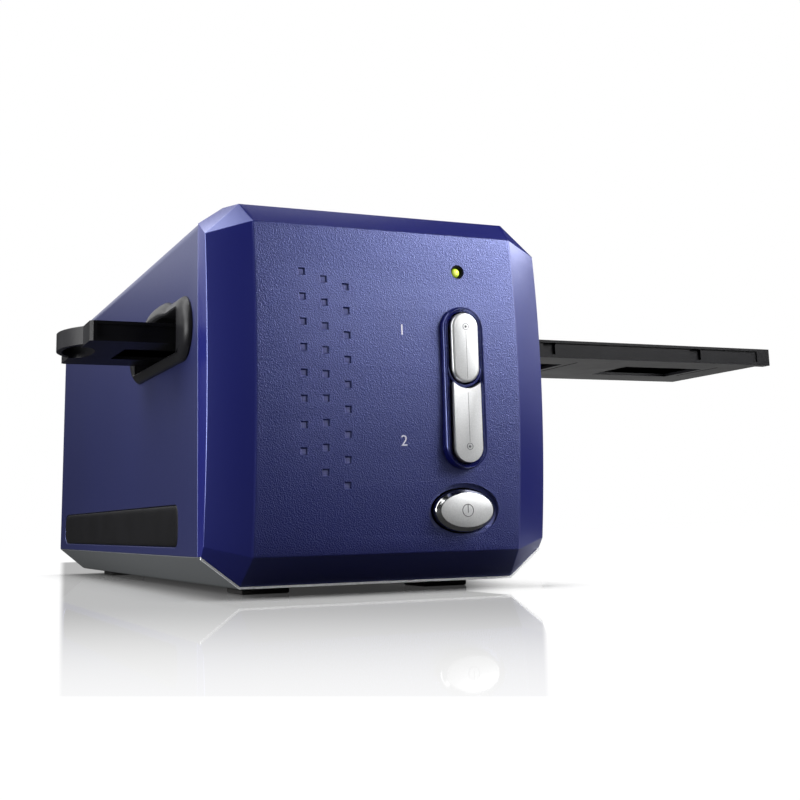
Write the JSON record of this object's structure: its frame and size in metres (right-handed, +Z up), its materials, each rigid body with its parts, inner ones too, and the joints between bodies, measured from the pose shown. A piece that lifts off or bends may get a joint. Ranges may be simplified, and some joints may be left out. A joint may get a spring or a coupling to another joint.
{
  "type": "film scanner",
  "caption": "Desktop scanner for mounted slides and film: boxy blue cover on a gray tray, leather-grained front with silver buttons, and a long slide holder passing through its side slots.",
  "frame": {"origin": "on the table, under the middle of the whole outline, with the slide holder as it stands in its second position", "axes": "+X to the right seen from the front, +Y from the front panel to the rear, +Z up"},
  "size_m": [0.2712, 0.2746, 0.119],
  "materials": {
    "fascia_blue": "fine leather grain, satin",
    "cover_blue": "smooth satin",
    "tray_gray": "fine grain",
    "black_plastic": "satin",
    "silver_plastic": "satin silver",
    "rubber": "matt",
    "lamp_plastic": "clear tinted",
    "board_green": "solder mask",
    "chip_black": "matt",
    "steel": "bright",
    "steel_plate": "plain",
    "bronze": "sintered",
    "white_plastic": "natural",
    "glass": "coated",
    "mirror": "front-surface",
    "silicon": "polished",
    "socket_metal": "bright"
  },
  "bodies": {
    "scanner_body": {"front_fascia": "fascia_blue", "main_housing": "cover_blue", "base_tray": "tray_gray", "rear_panel": "black_plastic", "slot_bezel_left": "black_plastic", "slot_bezel_right": "black_plastic", "side_inlay_left": "black_plastic", "side_inlay_right": "black_plastic", "rubber_feet": "rubber", "button_carrier": "black_plastic", "button_board": "board_green", "tact_switches": "chip_black", "status_led": "lamp_plastic", "film_chassis": "black_plastic", "tunnel_cover": "black_plastic", "detent_spring": "steel", "scan_frame": "steel_plate", "guide_rod": "steel", "guide_rail": "steel", "motor_can": "steel", "motor_bracket": "steel_plate", "gear_shaft": "steel", "idler_shaft": "steel", "drive_belt": "rubber", "main_board": "board_green", "board_chips": "chip_black", "usb_socket": "socket_metal", "power_jack": "chip_black", "sensor_ribbon": "white_plastic", "case_screws": "steel", "frame_screws": "steel", "rear_screws": "steel"},
    "holder": {"holder_base": "black_plastic", "holder_cover": "black_plastic", "window_frames": "black_plastic", "slide_clips": "steel"},
    "upper_button": {"upper_scan_button": "silver_plastic"},
    "lower_button": {"lower_scan_button": "silver_plastic"},
    "power_key": {"power_button": "silver_plastic"},
    "scan_unit": {"unit_frame": "black_plastic", "rod_bushes": "bronze", "lamp_housing": "white_plastic", "lamp_board": "board_green", "scan_mirror": "mirror", "lens_barrel": "black_plastic", "lens_glass": "glass", "sensor_board": "board_green", "image_sensor": "silicon", "belt_clamp": "steel_plate"},
    "gear": {"reduction_gear": "white_plastic"},
    "idler": {"idler_pulley": "white_plastic"},
    "rotor": {"motor_shaft": "steel", "pinion": "bronze"}
  },
  "joints": [
    {"name": "holder_slide", "type": "slide", "parent": "scanner_body", "child": "holder", "axis": [1, 0, 0], "range_m": [-0.13, 0.155]},
    {"name": "upper_button_press", "type": "slide", "parent": "scanner_body", "child": "upper_button", "axis": [0, 1, 0], "range_m": [0, 0.0008], "stiffness_N_per_m": 400, "springref_m": -0.002},
    {"name": "lower_button_press", "type": "slide", "parent": "scanner_body", "child": "lower_button", "axis": [0, 1, 0], "range_m": [0, 0.0008], "stiffness_N_per_m": 400, "springref_m": -0.002},
    {"name": "power_press", "type": "slide", "parent": "scanner_body", "child": "power_key", "axis": [0, 1, 0], "range_m": [0, 0.0008], "stiffness_N_per_m": 400, "springref_m": -0.002},
    {"name": "scan_travel", "type": "slide", "parent": "scanner_body", "child": "scan_unit", "axis": [1, 0, 0], "range_m": [-0.018, 0.018]},
    {"name": "gear_spin", "type": "hinge", "parent": "scanner_body", "child": "gear", "pos_m": [-0.0809, 0.0135, 0.02], "axis": [0, 0, 1], "range_deg": [-190, 190]},
    {"name": "idler_spin", "type": "hinge", "parent": "scanner_body", "child": "idler", "pos_m": [0.0011, 0.0135, 0.017], "axis": [0, 0, 1], "range_deg": [-190, 190]},
    {"name": "motor_spin", "type": "hinge", "parent": "scanner_body", "child": "rotor", "pos_m": [-0.0809, 0.0303, 0.022], "axis": [0, 0, 1], "range_deg": [-560, 560]}
  ],
  "couplings": [
    {"joint": "gear_spin", "follows": "scan_travel", "rad_per_m": 178.57},
    {"joint": "idler_spin", "follows": "scan_travel", "rad_per_m": 178.57},
    {"joint": "motor_spin", "follows": "scan_travel", "rad_per_m": -535.71}
  ]
}
